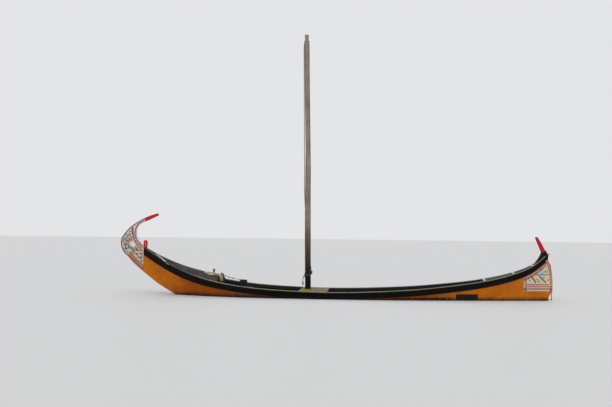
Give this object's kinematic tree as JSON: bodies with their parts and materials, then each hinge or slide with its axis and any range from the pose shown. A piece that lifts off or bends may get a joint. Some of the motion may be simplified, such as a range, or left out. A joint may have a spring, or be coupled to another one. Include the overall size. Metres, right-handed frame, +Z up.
{
  "type": "moliceiro boat",
  "caption": "Long shallow flat-bottomed lagoon boat with a high curled bow, an open hold between short decks and a lift-out mast.",
  "frame": {"origin": "middle of the overall length, on the centre line, at the underside of the flat bottom", "axes": "+X aft along the boat (the bow is at -X), +Y to starboard across it, +Z up"},
  "size_m": [15.0011, 2.575, 9.411],
  "materials": {
    "hull_plank": "painted planking, worn orange",
    "band_black": "tarred black sheer band",
    "bare_wood": "weathered grey-brown wood",
    "deck_wood": "dark worn deck boards",
    "mast_wood": "weathered spar wood",
    "red_paint": "red gloss paint",
    "bow_paint": "painted bow panel with borders",
    "cream_paint": "cream painted trim",
    "iron": "rusty forged iron",
    "rope": "old natural-fibre rope"
  },
  "bodies": {
    "hull": {"aft_bulkhead": "bare_wood", "aft_deck_battens": "cream_paint", "aft_deck_beams": "bare_wood", "aft_deck_planks": "deck_wood", "bottom_planks": "hull_plank", "bow_bitts": "red_paint", "breasthook": "deck_wood", "deck_cleat": "band_black", "deck_post": "band_black", "door_pintles": "iron", "floor_boards": "bare_wood", "floor_timbers": "bare_wood", "fore_bulkhead": "bare_wood", "fore_deck_beams": "bare_wood", "fore_deck_planks": "deck_wood", "gunwale_cap_port": "bare_wood", "gunwale_cap_starboard": "bare_wood", "inner_wale_port": "bare_wood", "inner_wale_starboard": "bare_wood", "mast_partner": "bare_wood", "mast_step": "bare_wood", "mast_thwart": "bare_wood", "mast_thwart_beams": "bare_wood", "mooring_block": "bare_wood", "rope_hank": "rope", "rudder_irons": "iron", "seat_thwarts": "bare_wood", "sheer_band_port": "band_black", "sheer_band_starboard": "band_black", "side_frames_port": "bare_wood", "side_frames_starboard": "bare_wood", "side_lower_strake_port": "hull_plank", "side_lower_strake_starboard": "hull_plank", "side_upper_strake_port": "hull_plank", "side_upper_strake_starboard": "hull_plank", "stem_blade": "bow_paint", "stem_foot": "hull_plank", "stem_tip": "red_paint", "stern_horn": "red_paint", "stern_post": "hull_plank"},
    "mast": {"mast": "mast_wood"},
    "fore_door": {"fore_door": "bare_wood", "door_straps": "iron"}
  },
  "joints": [
    {"name": "mast_lift", "type": "slide", "parent": "hull", "child": "mast", "axis": [-0.0163, 0, 0.9999], "range_m": [0, 0.42]},
    {"name": "fore_door_hinge", "type": "hinge", "parent": "hull", "child": "fore_door", "pos_m": [-3.861, -0.24, 0.43], "axis": [0, 0, -1], "range_deg": [0, 110]}
  ]
}
